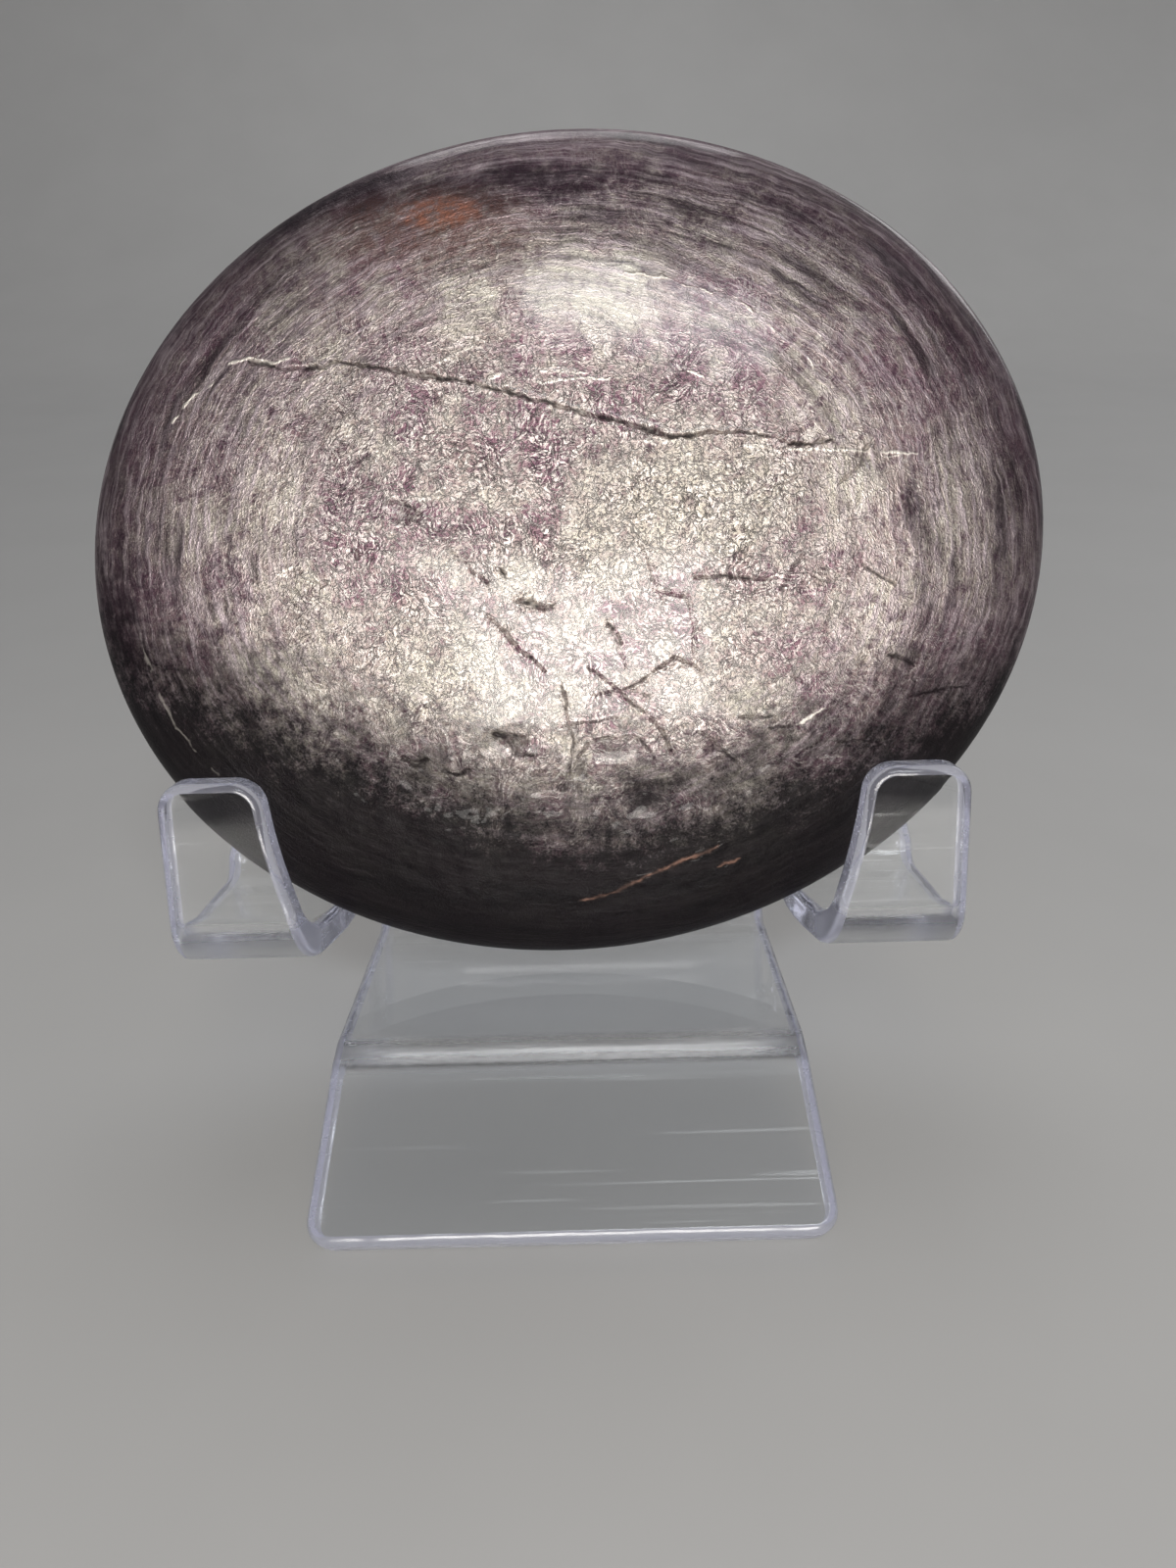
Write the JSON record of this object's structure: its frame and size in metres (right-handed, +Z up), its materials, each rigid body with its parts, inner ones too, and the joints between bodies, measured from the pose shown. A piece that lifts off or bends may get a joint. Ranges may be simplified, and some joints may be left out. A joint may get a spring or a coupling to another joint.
{
  "type": "lepidolite freeform on stand",
  "caption": "Polished lens-shaped lepidolite freeform leaning in a clear acrylic easel with two front hooks and a bent foot.",
  "frame": {"origin": "on the table, under the middle of the whole object's bounding box", "axes": "+Z up, +X to the right as the stone is looked at, the stone faces -Y"},
  "size_m": [0.1244, 0.1036, 0.113],
  "materials": {
    "lepidolite": "polished, mauve-grey mica streaks following the rim, dark cracks, silky sheen",
    "acrylic": "clear polished acrylic sheet, bright cut edges"
  },
  "bodies": {
    "root": {"lepidolite_stone": "lepidolite", "acrylic_stand": "acrylic"}
  },
  "joints": []
}
